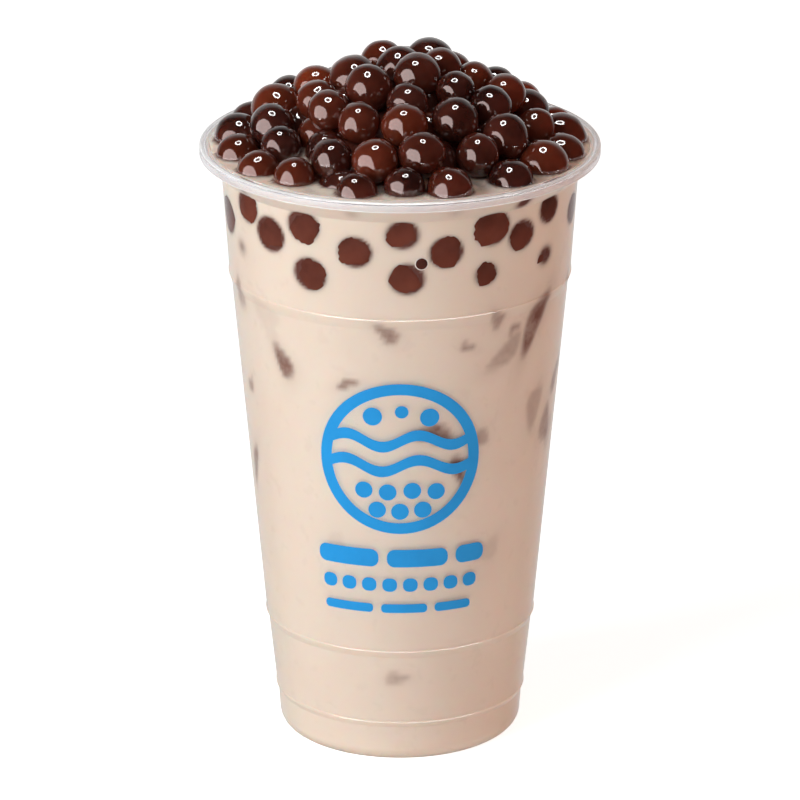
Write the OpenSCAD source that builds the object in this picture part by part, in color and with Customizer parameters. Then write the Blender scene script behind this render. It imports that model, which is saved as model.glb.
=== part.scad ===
// Milk tea in a clear plastic takeaway cup, heaped over the rim with tapioca pearls.
// Millimetres, +Z up. The origin is the middle of the cup's base, and the front faces -Y.
// Everything hangs from the rim: the wall runs down and in from it, band by band, to the base.

/* [Cup] */
// Height of the cup, from its base to the top of the rim
cup_h = 147; // [120:1:180]
// Outer diameter of the rim
rim_d = 95; // [76:0.5:116]
// Thickness of the wall
wall_t = 0.9; // [0.6:0.1:1.4]
// Thickness of the floor
floor_t = 1.2; // [0.8:0.1:2.4]
// Rounding of the base's outer corner
base_round = 3.4; // [2:0.2:5]

/* [Rim] */
// How far the rim stands out from the mouth
rim_w = 2.6; // [2.2:0.1:4]
// Thickness of the rim's top and of its skirt
rim_t = 0.9; // [0.6:0.1:1]
// Height of the skirt that hangs from the rim's edge
skirt_h = 2.4; // [1.6:0.1:4]
// Rounding of the rim's outer edge
rim_round = 0.7; // [0.3:0.1:0.8]
// Rounding of the mouth's edge
mouth_round = 0.4; // [0.1:0.1:0.6]
// How far the neck steps in below the mouth
neck_in = 3.5; // [1:0.1:5]
// How far below the rim's top the neck starts to slope
neck_start = 2; // [1.6:0.1:3]
// Height of the neck's slope
neck_slope_h = 4.3; // [3:0.1:7]

/* [Bands and ledges] */
// Height of the top band, from the neck to the upper ledge
top_band_h = 24.8; // [16:0.2:36]
// Slope of the top band's wall, in degrees
top_draft = 3.8; // [2:0.1:6]
// How far the upper ledge steps in
upper_ledge_in = 0.6; // [0.3:0.1:1.2]
// Height of the upper ledge's slope
upper_ledge_h = 2.4; // [1:0.1:4]
// Slope of the main band's wall, in degrees
main_draft = 5.25; // [3:0.05:7]
// Height of the middle ledge above the base
middle_ledge_z = 29.6; // [20:0.2:40]
// How far the middle ledge steps in
middle_ledge_in = 0.5; // [0.3:0.1:1.2]
// Height of the middle ledge's slope
middle_ledge_h = 1.6; // [1:0.1:4]
// Slope of the wall below the middle ledge, in degrees
low_draft = 6; // [3:0.1:8]
// Height of the lower ledge above the base
lower_ledge_z = 10.4; // [8:0.2:16]
// How far the lower ledge steps in
lower_ledge_in = 0.4; // [0.2:0.1:1]
// Height of the lower ledge's slope
lower_ledge_h = 1.2; // [0.8:0.1:3]
// Slope of the foot's wall, in degrees
foot_draft = 4; // [2:0.1:8]
// Rounding of the ledges' and the neck's corners
ledge_round = 0.8; // [0.2:0.1:1.2]

/* [Milk tea] */
// How far the drink stays below the top of the rim
fill_gap = 1; // [0.5:0.1:12]
// Clearance of the drink from the cup's wall and from the heap's sunk middle
fit_gap = 0.05; // [0.02:0.01:0.1]

/* [Pearls] */
// Diameter of the smallest pearl
pearl_min_d = 9.4; // [7:0.1:11]
// Diameter of the largest pearl
pearl_max_d = 12.6; // [8:0.1:14]
// How much higher the heap's middle is than its edge, from pearl centre to pearl centre
heap_h = 18.5; // [8:0.5:26]
// How far the centres of the pearls at the edge lie below the drink's surface
edge_sink = 1.2; // [0:0.1:3]
// How far the heap's peak leans back and to the right
heap_lean = 4; // [0:0.5:6]
// Clearance between the pearls at the edge and the mouth of the cup
mouth_gap = 0.4; // [0.2:0.1:1.5]
// How far the heap's body lies below the pearls' centres
body_drop = 1.5; // [0.5:0.1:3]
// Depth to which the heap's middle sinks into the drink
heap_sink = 5; // [2:0.5:12]
// How much two pearls that touch press into each other, as a share of their size
squash = 0.08; // [0.02:0.01:0.15]

/* [Hidden] */

// Facets of the cup's arcs and turned shapes, of a pearl and of the heap's body
ARC_STEPS = 5;
CUP_FN = 120;
PEARL_FN = 14;
HEAP_FN = 32;
// Levels at which the heap's body is outlined, and its least thickness
HEAP_LEVELS = 5;
BODY_EDGE = 0.2;
// Passes in which the pearls push each other apart
SETTLE_PASSES = 10;
// How far a cut runs past the shape that it cuts
OVER = 1;

// Mouth, body and foot of the cup, from the rim down
mouth_r = rim_d / 2 - rim_w;
neck_z = cup_h - neck_start - neck_slope_h;
upper_ledge_z = neck_z - top_band_h;

// Outer radius of the wall at each corner, from the neck down
neck_r = mouth_r + wall_t - neck_in;
upper_r = neck_r - top_band_h * tan(top_draft);
main_r = upper_r - upper_ledge_in;
main_z = upper_ledge_z - upper_ledge_h;
middle_r = main_r - (main_z - middle_ledge_z) * tan(main_draft);
low_r = middle_r - middle_ledge_in;
low_z = middle_ledge_z - middle_ledge_h;
lower_r = low_r - (low_z - lower_ledge_z) * tan(low_draft);
foot_r = lower_r - lower_ledge_in;
foot_z = lower_ledge_z - lower_ledge_h;
base_r = foot_r - foot_z * tan(foot_draft);

drink_z = cup_h - fill_gap;

// Outline of the wall from the base up to the mouth, moved in by a distance.
// Each corner is [radius, height, rounding].
function wall_corners(inset, bottom) = [
    [base_r + bottom * tan(foot_draft) - inset, bottom, base_round - inset],
    [foot_r - inset, foot_z, ledge_round],
    [lower_r - inset, lower_ledge_z, ledge_round],
    [low_r - inset, low_z, ledge_round],
    [middle_r - inset, middle_ledge_z, ledge_round],
    [main_r - inset, main_z, ledge_round],
    [upper_r - inset, upper_ledge_z, ledge_round],
    [neck_r - inset, neck_z, ledge_round],
    [mouth_r + wall_t - inset, cup_h - neck_start, ledge_round]
];

// Corners in the opposite order
function reversed(list) = [for (i = [len(list) - 1:-1:0]) list[i]];

// Unit vector of a direction
function unit(v) = v / norm(v);

// Points of the arc that rounds the corner b between the corners a and c.
// The arc is kept within the middle halves of both straights.
function corner_arc(a, b, c) =
    let (
        to_a = [a.x - b.x, a.y - b.y],
        to_c = [c.x - b.x, c.y - b.y],
        half = acos(unit(to_a) * unit(to_c)) / 2,
        r = min(b.z, min(norm(to_a), norm(to_c)) * tan(half) / 2.1),
        middle = unit(unit(to_a) + unit(to_c)),
        centre = [b.x, b.y] + middle * r / sin(half),
        start = [b.x, b.y] + unit(to_a) * r / tan(half) - centre,
        turn = 180 - 2 * half,
        way = (to_a.x * to_c.y - to_a.y * to_c.x) > 0 ? -1 : 1
    )
    [for (i = [0:ARC_STEPS])
        let (angle = way * turn * i / ARC_STEPS)
        centre + [
            start.x * cos(angle) - start.y * sin(angle),
            start.x * sin(angle) + start.y * cos(angle)
        ]];

// Open outline with each of its inner corners rounded where it has a rounding
function rounded(path) = [
    for (i = [0:len(path) - 1])
        let (sharp = i == 0 || i == len(path) - 1 || path[i].z <= 0)
        each sharp
            ? [[path[i].x, path[i].y]]
            : corner_arc(path[i - 1], path[i], path[i + 1])
];

// Corners of the inside of the cup, from the middle of the floor up to the mouth
function inside_corners(inset) = concat(
    [[0, floor_t, 0]],
    wall_corners(wall_t + inset, floor_t),
    [[mouth_r - inset, cup_h, mouth_round]]
);

// Radius of the inside at the drink's surface
brim_r = lookup(drink_z, [
    for (corner = concat(wall_corners(wall_t, floor_t), [[mouth_r, cup_h]]))
        [corner.y, corner.x]
]);

module cup() {
    skirt_r = rim_d / 2 - rim_t;
    outside = concat(
        [[0, 0, 0]],
        wall_corners(0, 0),
        [
            [mouth_r + wall_t, cup_h - rim_t, 0],
            [skirt_r, cup_h - rim_t, 0],
            [skirt_r, cup_h - skirt_h, 0],
            [rim_d / 2, cup_h - skirt_h, 0],
            [rim_d / 2, cup_h, rim_round]
        ]
    );
    color([0.93, 0.94, 0.95, 0.35])
    rotate_extrude($fn = CUP_FN)
    polygon(rounded(concat(outside, reversed(inside_corners(0)))));
}

// The drink fills the cup up to its level, round the sunk middle of the heap
module milk_tea() {
    color([0.86, 0.76, 0.68])
    difference() {
        intersection() {
            rotate_extrude($fn = CUP_FN)
            polygon(rounded(concat(inside_corners(fit_gap), [[0, cup_h, 0]])));
            cylinder(h = drink_z, r = rim_d, $fn = CUP_FN);
        }
        translate([0, 0, drink_z - heap_sink])
        cylinder(h = heap_sink + OVER, r = heap_core_r, $fn = CUP_FN);
    }
}

// ---- The heap of pearls ----

// Distance of the outermost pearl centres from the heap's middle
heap_r = brim_r - pearl_min_d / 2;
// Radius of the heap's middle, which is sunk in the drink
heap_core_r = heap_r - pearl_max_d / 2;

// Rings of pearls from the edge in: [radius share, pitch, first angle, seed].
// The pitch is from pearl to pearl along the ring, as a share of the mean diameter.
RINGS = [
    [0.95, 1.12, 6, 91],
    [0.775, 1.09, 11, 238],
    [0.56, 1.05, 4, 104],
    [0.325, 1.02, 19, 461],
    [0.11, 0.8, 37, 38]
];
mean_d = (pearl_min_d + pearl_max_d) / 2;

// Number of pearls that a ring has room for
function ring_count(ring) = max(1, floor(2 * PI * heap_r * ring[0] / (mean_d * ring[1])));

// Unevenness: of the spacing in a ring, of the distance from the middle, of the height
SPACING_SHARE = 0.28;
RADIUS_JITTER = 1.5;
HEIGHT_JITTER = 1;

// Repeatable number between 0 and 1 for a pearl and a seed
function chance(i, seed) =
    let (v = sin(i * 127.1 + seed * 311.7) * 43758.5453)
    v - floor(v);

// The same, between -1 and 1
function spread(i, seed) = 2 * chance(i, seed) - 1;

// Height of the heap's pearl centres above the drink at a distance from its middle
function heap_rise(r) = heap_h * max(0, 1 - pow(r / heap_r, 2)) - edge_sink;

// How far the heap leans at a distance from its middle
function lean_at(r) = heap_lean * max(0, 1 - r / heap_r);

// Pearls as they are first strewn: [x, y, height off the heap's shape, radius]
strewn = [
    for (ring = RINGS, i = [1:ring_count(ring)])
        let (
            seed = ring[3],
            step = 360 / ring_count(ring),
            angle = ring[2] + step * (i - 1 + SPACING_SHARE * spread(i, seed + 0.37)),
            r = heap_r * ring[0] + RADIUS_JITTER * spread(i, seed + 0.71),
            d = pearl_min_d + (pearl_max_d - pearl_min_d) * chance(i, seed)
        )
        [r * cos(angle), r * sin(angle), HEIGHT_JITTER * spread(i, seed + 0.13), d / 2]
];

// A pearl brought back inside the mouth
function kept_in(p) =
    let (limit = brim_r - mouth_gap - p[3], k = min(1, limit / norm([p.x, p.y])))
    [p.x * k, p.y * k, p.z, p[3]];

// A pearl's centre in space: [x, y, z, radius]
function in_space(p) =
    let (r = norm([p.x, p.y]), lean = lean_at(r))
    [p.x + lean, p.y + lean, drink_z + heap_rise(r) + p.z, p[3]];

// Sideways push on pearl a from pearl b where they press too deep into each other
function push(a, b) =
    let (
        gap = [a.x - b.x, a.y - b.y, a.z - b.z],
        far = norm(gap),
        depth = (1 - squash) * (a[3] + b[3]) - far
    )
    far > 0 && depth > 0 ? [gap.x, gap.y] * depth / far / 2 : [0, 0];

// Sum of a list of vectors, from its entry i on
function total(list, i = 0) = i < len(list) ? list[i] + total(list, i + 1) : [0, 0];

// Pearls after they have pushed each other apart
function settled(pearls, passes) =
    let (held = [for (p = pearls) kept_in(p)])
    passes == 0
        ? [for (p = held) in_space(p)]
        : let (placed = [for (p = held) in_space(p)])
          settled([
              for (i = [0:len(held) - 1])
                  let (move = total([for (q = placed) push(placed[i], q)]))
                  [held[i].x + move.x, held[i].y + move.y, held[i].z, held[i][3]]
          ], passes - 1);

pearls = settled(strewn, SETTLE_PASSES);

// One pearl
module pearl(p) {
    hull()
    translate([p.x, p.y, p.z])
    sphere(p[3], $fn = PEARL_FN);
}

// The heap's body, a little under the pearls' centres
module heap_body() {
    edge_r = heap_r * sqrt(1 - (edge_sink + body_drop) / heap_h);
    hull()
    for (i = [0:HEAP_LEVELS]) {
        r = edge_r * sin(90 * i / HEAP_LEVELS);
        translate([lean_at(r), lean_at(r), drink_z])
        cylinder(h = max(BODY_EDGE, heap_rise(r) - body_drop), r = r + BODY_EDGE, $fn = HEAP_FN);
    }
}

// The pearls and the body end flat on the drink, and the middle goes on into it
module pearl_heap() {
    color([0.2, 0.08, 0.07])
    union() {
        intersection() {
            union() {
                heap_body();
                for (p = pearls) pearl(p);
            }
            translate([0, 0, drink_z])
            cylinder(h = cup_h, r = rim_d, $fn = HEAP_FN);
        }
        translate([0, 0, drink_z - heap_sink])
        cylinder(h = heap_sink + BODY_EDGE, r = heap_core_r - fit_gap, $fn = HEAP_FN);
    }
}

cup();
milk_tea();
pearl_heap();
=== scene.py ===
"""Milk tea in a clear takeaway cup, heaped over the rim with tapioca pearls.

Everything is in metres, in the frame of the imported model: +Z up, the origin in the middle of
the cup's base, and the front towards -Y. Sizes that a maker would read off a drawing are
written in millimetres and multiplied by MM.
"""

import logging
import math
from dataclasses import dataclass
from enum import Enum
from typing import Callable, Sequence

import bmesh
import bpy
import numpy as np
from bmesh.types import BMEdge, BMesh, BMVert
from bpy.types import ID, AreaLight, Material, Node, NodeSocket, NodeTree, Object
from mathutils import Matrix, Vector, noise


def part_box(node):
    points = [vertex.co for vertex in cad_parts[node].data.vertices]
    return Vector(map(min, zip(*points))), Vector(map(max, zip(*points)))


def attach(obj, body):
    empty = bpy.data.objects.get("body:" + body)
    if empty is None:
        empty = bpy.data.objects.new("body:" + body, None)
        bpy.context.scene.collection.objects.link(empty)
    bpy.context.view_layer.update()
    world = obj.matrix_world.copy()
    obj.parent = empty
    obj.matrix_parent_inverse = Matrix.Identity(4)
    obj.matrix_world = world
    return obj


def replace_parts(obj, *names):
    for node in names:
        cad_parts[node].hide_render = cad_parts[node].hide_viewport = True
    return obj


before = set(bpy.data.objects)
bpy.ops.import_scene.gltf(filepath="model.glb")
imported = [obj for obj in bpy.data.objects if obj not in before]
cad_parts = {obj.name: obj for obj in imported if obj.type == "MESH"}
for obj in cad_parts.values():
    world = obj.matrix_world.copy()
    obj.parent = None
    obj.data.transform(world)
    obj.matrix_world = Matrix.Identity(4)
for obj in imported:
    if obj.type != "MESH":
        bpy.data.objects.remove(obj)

logging.basicConfig(level=logging.INFO, format="%(message)s")
LOG = logging.getLogger("bubble_tea")

MM = 0.001

# A straight is at least this many times as long as what an arc takes of its end.
LEAST_STRAIGHT = 2.1

# Points that lie closer together than this are joined.
WELD = 0.002 * MM

Colour = tuple[float, float, float]


class Slot(Enum):
    """Names of material slots."""

    PLASTIC = "clear_plastic"
    MILK = "milk_tea"
    TAPIOCA = "tapioca"
    PRINT = "print"


class Mask(Enum):
    """Values painted on the points of a mesh, which the finishes read."""

    # Pearls seen through the drink's film, and painted shade on the drink's surface under the heap.
    VEIL_AND_SHADE = "veil"
    MARK = "mark"
    # Each pearl's own amber, with painted glow of light through the heap's back and edge pearls and the
    # sunk pearls' undersides.
    TONE_AND_GLOW = "tone"


# ---- Uneven numbers that are the same on every run ----


def chance(i: int, seed: float) -> float:
    """Gives a number between 0 and 1 for an item and a seed."""
    value = math.sin(math.radians(i * 127.1 + seed * 311.7)) * 43758.5453
    return value - math.floor(value)


def spread(i: int, seed: float) -> float:
    """Gives a number between -1 and 1 for an item and a seed."""
    return 2 * chance(i, seed) - 1


# ---- Turned shapes ----


def drift(height: float, degrees: float) -> float:
    """Gives how far a wall with a draft moves outward over a height."""
    return height * math.tan(math.radians(degrees))


@dataclass(frozen=True)
class Corner:
    """A corner of a turned outline: its radius, its height and its rounding."""

    r: float
    z: float
    rounding: float = 0.0

    def point(self) -> Vector:
        """Gives the corner's place in the plane y = 0."""
        return Vector((self.r, 0.0, self.z))


def rounded(corners: Sequence[Corner], steps: int = 6) -> list[Vector]:
    """Rounds the inner corners of an open outline with true arcs.

    Args:
        corners: The outline's corners in order.
        steps: Chords in each arc.

    Returns:
        The points of the outline in the plane y = 0.
    """
    points = [corners[0].point()]
    for last, corner, following in zip(corners, corners[1:], corners[2:]):
        here = corner.point()
        back, on = last.point() - here, following.point() - here
        half = back.angle(on) / 2
        radius = min(corner.rounding, min(back.length, on.length) * math.tan(half) / LEAST_STRAIGHT)
        if radius <= 0:
            points.append(here)
            continue
        middle = (back.normalized() + on.normalized()).normalized()
        centre = here + middle * radius / math.sin(half)
        start = here + back.normalized() * radius / math.tan(half) - centre
        turn = math.pi - 2 * half
        way = 1 if back.cross(on).y > 0 else -1
        for i in range(steps + 1):
            points.append(centre + Matrix.Rotation(-way * turn * i / steps, 3, "Y") @ start)
    points.append(corners[-1].point())
    return points


def even_steps(points: Sequence[Vector], step: Callable[[Vector], float]) -> list[Vector]:
    """Divides the long straights of an outline.

    Args:
        points: The outline's points in order.
        step: Gives the longest stretch that is allowed at a place.

    Returns:
        The outline with points added.
    """
    made = [points[0]]
    for a, b in zip(points, points[1:]):
        count = max(1, math.ceil((b - a).length / step((a + b) / 2)))
        made += [a.lerp(b, i / count) for i in range(1, count + 1)]
    return made


def edges_of(verts: Sequence[BMVert]) -> list[BMEdge]:
    """Gives every edge at some points."""
    return list({edge for vert in verts for edge in vert.link_edges})


def spun(bm: BMesh, verts: list[BMVert], edges: list[BMEdge], segments: int) -> None:
    """Spins points and edges once round the upright axis.

    Args:
        bm: The mesh.
        verts: The points.
        edges: The edges between them.
        segments: Steps in the full turn.
    """
    turn = {"cent": (0, 0, 0), "axis": (0, 0, 1), "angle": 2 * math.pi, "steps": segments}
    bmesh.ops.spin(bm, geom=[*verts, *edges], use_merge=True, **turn)


def turned(bm: BMesh, points: Sequence[Vector], segments: int) -> None:
    """Spins an outline once round the cup's axis.

    Args:
        bm: The mesh that gets the shape.
        points: The outline in the plane y = 0, from axis to axis.
        segments: Steps in the full turn.
    """
    verts = [bm.verts.new(p) for p in points]
    edges = [bm.edges.new(pair) for pair in zip(verts, verts[1:])]
    spun(bm, verts, edges, segments)
    bmesh.ops.remove_doubles(bm, verts=bm.verts, dist=WELD)
    bmesh.ops.recalc_face_normals(bm, faces=bm.faces)


def in_scene(name: str, data: ID) -> Object:
    """Makes an object of a mesh, a lamp or a camera.

    Args:
        name: Its name.
        data: The mesh, the lamp or the camera.

    Returns:
        The object, at the origin.
    """
    made = bpy.data.objects.new(name, data)
    bpy.context.scene.collection.objects.link(made)
    return made


def finished(bm: BMesh, name: str, material: Material, smooth: bool = True) -> Object:
    """Makes an object of a mesh, at the origin, and lets it ride on the cup.

    Args:
        bm: The finished mesh, which is freed.
        name: The piece's name.
        material: The finish of all its faces.
        smooth: Whether its faces are shaded as one smooth surface.

    Returns:
        The new piece.
    """
    data = bpy.data.meshes.new(name)
    for face in bm.faces:
        face.smooth = smooth
    bm.to_mesh(data)
    bm.free()
    piece = in_scene(name, data)
    data.materials.append(material)
    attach(piece, "root")
    LOG.info("%s: %d faces", name, len(data.polygons))
    return piece


def painted(piece: Object, mask: Mask, values: np.ndarray) -> None:
    """Writes one value for each point of a piece into a mask."""
    layer = piece.data.attributes.new(mask.value, "FLOAT", "POINT")
    layer.data.foreach_set("value", values.astype(np.float32))


# ---- Finishes ----


class Wiring:
    """Adds nodes to a tree and links them."""

    def __init__(self, tree: NodeTree) -> None:
        """Takes the tree and empties it."""
        self.tree = tree
        tree.nodes.clear()

    def add(self, kind: str, given: dict[int, object] | None = None, **values: object) -> Node:
        """Adds a node.

        Args:
            kind: The node's type, without the leading ShaderNode.
            given: What inputs get that are told apart by number.
            **values: The node's settings, in lower case, and what its other inputs get, as
                title words with underscores.

        Returns:
            The node.
        """
        node = self.tree.nodes.new("ShaderNode" + kind)
        for key, value in values.items():
            if key[0].isupper():
                self.put(node.inputs[key.replace("_", " ")], value)
            else:
                setattr(node, key, value)
        for number, value in (given or {}).items():
            self.put(node.inputs[number], value)
        return node

    def put(self, socket: NodeSocket, value: object) -> None:
        """Links an output to an input, or gives the input a value.

        Args:
            socket: The input.
            value: An output, or a number, vector or colour.
        """
        if isinstance(value, NodeSocket):
            self.tree.links.new(value, socket)
        else:
            socket.default_value = (*value, 1.0) if socket.type == "RGBA" else value

    def mask(self, mask: Mask) -> NodeSocket:
        """Reads a painted mask."""
        return self.add("Attribute", attribute_name=mask.value).outputs["Fac"]

    def maths(self, operation: str, first: NodeSocket, second: NodeSocket) -> NodeSocket:
        """Combines two values."""
        return self.add("Math", {0: first, 1: second}, operation=operation).outputs[0]

    def mixed(
        self, factor: NodeSocket, first: NodeSocket | Colour, second: NodeSocket | Colour
    ) -> NodeSocket:
        """Mixes two colours, of which the factor says how much of the second shows."""
        return self.add("Mix", {0: factor, 6: first, 7: second}, data_type="RGBA").outputs[2]

    def ranged(self, value: NodeSocket, low: float, high: float, start: float, end: float) -> NodeSocket:
        """Maps a value from the range low to high to the range start to end, and clamps it."""
        ends = {"From_Min": low, "From_Max": high, "To_Min": start, "To_Max": end}
        return self.add("MapRange", Value=value, **ends).outputs["Result"]


def unevenness_group() -> NodeTree:
    """Builds the node group that makes a surface slightly uneven.

    Returns:
        A group with the inputs Colour, Other Colour, Patch Scale, Grain Scale, Low and High.
        Its outputs are Colour, Roughness between Low and High, and Height.
    """
    name = "Unevenness"
    if name in bpy.data.node_groups:
        return bpy.data.node_groups[name]
    tree = bpy.data.node_groups.new(name, "ShaderNodeTree")
    wiring = Wiring(tree)
    for way, labels in (
        ("INPUT", ("Colour", "Other Colour", "Patch Scale", "Grain Scale", "Low", "High")),
        ("OUTPUT", ("Colour", "Roughness", "Height")),
    ):
        for label in labels:
            kind = "NodeSocketColor" if label.endswith("Colour") else "NodeSocketFloat"
            tree.interface.new_socket(name=label, in_out=way, socket_type=kind)
    given = tree.nodes.new("NodeGroupInput").outputs
    result = tree.nodes.new("NodeGroupOutput").inputs
    place = wiring.add("TexCoord").outputs["Object"]
    patches = wiring.add("TexNoise", Vector=place, Scale=given["Patch Scale"], Detail=3.0, Roughness=0.55)
    grain = wiring.add("TexNoise", Vector=place, Scale=given["Grain Scale"], Detail=2.0, Roughness=0.5)
    share = wiring.ranged(patches.outputs["Fac"], 0.35, 0.65, 0.0, 1.0)
    height = grain.outputs["Fac"]
    wiring.put(result["Colour"], wiring.mixed(share, given["Colour"], given["Other Colour"]))
    wiring.put(result["Roughness"], wiring.ranged(height, 0.3, 0.7, given["Low"], given["High"]))
    wiring.put(result["Height"], height)
    return tree


@dataclass(frozen=True)
class Finish:
    """An opaque finish, such as ink: two colours, a range of roughness and a fine relief."""

    name: str
    colour: Colour
    other: Colour
    low: float
    high: float
    patch_scale: float = 60.0
    grain_scale: float = 700.0
    relief: float = 0.02 * MM

    def material(self) -> Material:
        """Builds the material.

        Returns:
            The material.
        """
        material = bpy.data.materials.new(self.name)
        material.use_nodes = True
        wiring = Wiring(material.node_tree)
        uneven = wiring.add(
            "Group",
            node_tree=unevenness_group(),
            Colour=self.colour,
            Other_Colour=self.other,
            Patch_Scale=self.patch_scale,
            Grain_Scale=self.grain_scale,
            Low=self.low,
            High=self.high,
        ).outputs
        bump = wiring.add("Bump", Strength=1.0, Distance=self.relief, Height=uneven["Height"])
        shader = wiring.add(
            "BsdfPrincipled",
            Base_Color=self.tinted(wiring, uneven["Colour"]),
            Roughness=uneven["Roughness"],
            Normal=bump.outputs["Normal"],
            **self.settings(wiring),
        )
        surface = self.surface(wiring, shader.outputs["BSDF"])
        wiring.add("OutputMaterial", Surface=surface)
        return material

    def tinted(self, wiring: Wiring, colour: NodeSocket) -> NodeSocket:
        """Paints over the finish's own colour: here nothing."""
        return colour

    def settings(self, wiring: Wiring) -> dict[str, object]:
        """Gives what else the shader gets: here nothing."""
        return {}

    def surface(self, wiring: Wiring, shaded: NodeSocket) -> NodeSocket:
        """Gives the surface: here what the shader gives."""
        return shaded


@dataclass(frozen=True)
class PaleFloor(Finish):
    """A pale studio floor that looks bright without lighting the object from below."""

    glow: float = 0.7
    bounce: float = 0.14

    def settings(self, wiring: Wiring) -> dict[str, object]:
        """Lets the floor glow where it is looked at.

        Args:
            wiring: The material's wiring.

        Returns:
            The shader's glow.
        """
        path = wiring.add("LightPath").outputs
        seen = wiring.maths("MAXIMUM", path["Is Camera Ray"], path["Is Transmission Ray"])
        strength = wiring.ranged(seen, 0.0, 1.0, self.bounce, self.glow)
        return {"Emission_Strength": strength, "Emission_Color": (1.0, 1.0, 1.0)}


@dataclass(frozen=True)
class ClearPlastic(Finish):
    """Clear or hazy plastic, which lets lamplight through to what it holds."""

    clearness: float = 1.0
    ior: float = 1.49
    passing: float = 0.99

    def settings(self, wiring: Wiring) -> dict[str, object]:
        """Makes the shader clear."""
        return {"Transmission_Weight": self.clearness, "IOR": self.ior}

    def surface(self, wiring: Wiring, shaded: NodeSocket) -> NodeSocket:
        """Lets light on its way to the contents pass straight through.

        Args:
            wiring: The material's wiring.
            shaded: What the shader gives.

        Returns:
            The surface.
        """
        clear = wiring.add("BsdfTransparent", Color=(self.passing,) * 3).outputs["BSDF"]
        path = wiring.add("LightPath").outputs
        passes = wiring.maths("MAXIMUM", path["Is Shadow Ray"], path["Is Diffuse Ray"])
        return wiring.add("MixShader", {0: passes, 1: shaded, 2: clear}).outputs[0]


@dataclass(frozen=True)
class Milky(Finish):
    """Milk tea: light goes into it, pearls and marks show through its outermost film, and its surface
    under the heap is painted dark as shade.
    """

    # The pearls' colour through the film, also painted as shade on the surface under the heap.
    veil: Colour = (0.13, 0.036, 0.024)
    mark: Colour = (0.2, 0.075, 0.052)
    cloud_scale: float = 170.0
    cloud_least: float = 0.75
    weight: float = 0.8
    reach: Colour = (1.0, 0.55, 0.38)
    depth: float = 3.0 * MM
    ior: float = 1.35

    def tinted(self, wiring: Wiring, colour: NodeSocket) -> NodeSocket:
        """Paints the cloudy marks over the tea, and then the pearls behind the film and the painted shade
        under the heap.

        Args:
            wiring: The material's wiring.
            colour: The tea's own colour.

        Returns:
            The colour that shows.
        """
        place = wiring.add("TexCoord").outputs["Object"]
        cloud = wiring.add("TexNoise", Vector=place, Scale=self.cloud_scale, Detail=3.0, Roughness=0.6)
        share = wiring.ranged(cloud.outputs["Fac"], 0.38, 0.58, self.cloud_least, 1.0)
        broken = wiring.maths("MULTIPLY", wiring.mask(Mask.MARK), share)
        marked = wiring.mixed(broken, colour, self.mark)
        # Pearls through the film, and painted shade under the heap.
        return wiring.mixed(wiring.mask(Mask.VEIL_AND_SHADE), marked, self.veil)

    def settings(self, wiring: Wiring) -> dict[str, object]:
        """Lets light into the tea.

        Args:
            wiring: The material's wiring; not used.

        Returns:
            The shader's settings.
        """
        return {
            "Subsurface_Weight": self.weight,
            "Subsurface_Radius": self.reach,
            "Subsurface_Scale": self.depth,
            "IOR": self.ior,
        }


@dataclass(frozen=True)
class Tapioca(Finish):
    """Cooked tapioca: dark, wet and a little see-through, from nearly black to amber, with amber also
    painted as glow of light through the pearls.
    """

    # Amber of the pearls' own tone, also painted where light glows through them.
    amber: Colour = (0.42, 0.07, 0.02)
    weight: float = 0.5
    reach: Colour = (1.0, 0.25, 0.12)
    depth: float = 2.2 * MM
    clearness: float = 0.3
    ior: float = 1.42
    shine: float = 0.5
    coat: float = 0.7
    coat_roughness: float = 0.03

    def tinted(self, wiring: Wiring, colour: NodeSocket) -> NodeSocket:
        """Gives each pearl its own amber, and the painted glow of light passing through it."""
        return wiring.mixed(wiring.mask(Mask.TONE_AND_GLOW), colour, self.amber)

    def settings(self, wiring: Wiring) -> dict[str, object]:
        """Makes the pearls wet and a little see-through.

        Args:
            wiring: The material's wiring; not used.

        Returns:
            The shader's settings.
        """
        return {
            "Subsurface_Weight": self.weight,
            "Subsurface_Radius": self.reach,
            "Subsurface_Scale": self.depth,
            "Transmission_Weight": self.clearness,
            "IOR": self.ior,
            "Specular_IOR_Level": self.shine,
            "Coat_Weight": self.coat,
            "Coat_Roughness": self.coat_roughness,
        }


# ---- The cup ----


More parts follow.
